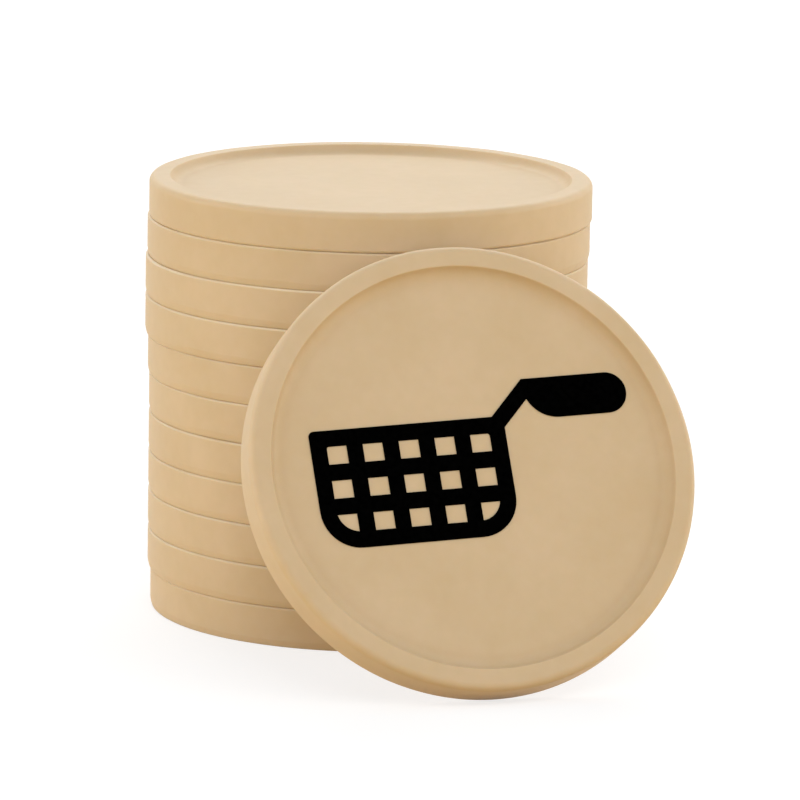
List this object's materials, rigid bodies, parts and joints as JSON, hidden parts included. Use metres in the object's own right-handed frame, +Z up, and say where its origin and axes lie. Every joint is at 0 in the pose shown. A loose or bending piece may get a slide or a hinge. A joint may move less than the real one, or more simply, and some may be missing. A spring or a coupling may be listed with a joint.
{
  "type": "game token stack",
  "caption": "Stack of round moulded plastic game tokens with raised rims, and a like token leaning on it with a black printed fryer-basket pictogram; tokens lift off and the leaning one tips.",
  "frame": {"origin": "centre of the lowest token's underside, at the height of the table that the set stands on", "axes": "+Z up through the stack, -Y towards the viewer at the front, +X to the viewer's right"},
  "size_m": [0.0355, 0.0447, 0.0286],
  "materials": {
    "token_plastic": "matte sand-coloured moulded plastic with a fine mould texture",
    "emblem_ink": "flat black printed ink film"
  },
  "bodies": {
    "base_token": {"token_01": "token_plastic"},
    "stack_token_02": {"token_02": "token_plastic"},
    "stack_token_03": {"token_03": "token_plastic"},
    "stack_token_04": {"token_04": "token_plastic"},
    "stack_token_05": {"token_05": "token_plastic"},
    "stack_token_06": {"token_06": "token_plastic"},
    "stack_token_07": {"token_07": "token_plastic"},
    "stack_token_08": {"token_08": "token_plastic"},
    "stack_token_09": {"token_09": "token_plastic"},
    "stack_token_10": {"token_10": "token_plastic"},
    "stack_token_11": {"token_11": "token_plastic"},
    "leaning": {"leaning_token": "token_plastic", "printed_emblem": "emblem_ink"}
  },
  "joints": [
    {"name": "lift_token_02", "type": "slide", "parent": "base_token", "child": "stack_token_02", "axis": [0, 0, 1], "range_m": [0, 0.012]},
    {"name": "lift_token_03", "type": "slide", "parent": "stack_token_02", "child": "stack_token_03", "axis": [0, 0, 1], "range_m": [0, 0.012]},
    {"name": "lift_token_04", "type": "slide", "parent": "stack_token_03", "child": "stack_token_04", "axis": [0, 0, 1], "range_m": [0, 0.012]},
    {"name": "lift_token_05", "type": "slide", "parent": "stack_token_04", "child": "stack_token_05", "axis": [0, 0, 1], "range_m": [0, 0.012]},
    {"name": "lift_token_06", "type": "slide", "parent": "stack_token_05", "child": "stack_token_06", "axis": [0, 0, 1], "range_m": [0, 0.012]},
    {"name": "lift_token_07", "type": "slide", "parent": "stack_token_06", "child": "stack_token_07", "axis": [0, 0, 1], "range_m": [0, 0.012]},
    {"name": "lift_token_08", "type": "slide", "parent": "stack_token_07", "child": "stack_token_08", "axis": [0, 0, 1], "range_m": [0, 0.012]},
    {"name": "lift_token_09", "type": "slide", "parent": "stack_token_08", "child": "stack_token_09", "axis": [0, 0, 1], "range_m": [0, 0.012]},
    {"name": "lift_token_10", "type": "slide", "parent": "stack_token_09", "child": "stack_token_10", "axis": [0, 0, 1], "range_m": [0, 0.012]},
    {"name": "lift_token_11", "type": "slide", "parent": "stack_token_10", "child": "stack_token_11", "axis": [0, 0, 1], "range_m": [0, 0.012]},
    {"name": "tip_forward", "type": "hinge", "parent": "base_token", "child": "leaning", "pos_m": [0.00813, -0.02836, 0.0008], "axis": [0.9613, 0.2756, 0], "range_deg": [0, 117.5]}
  ]
}
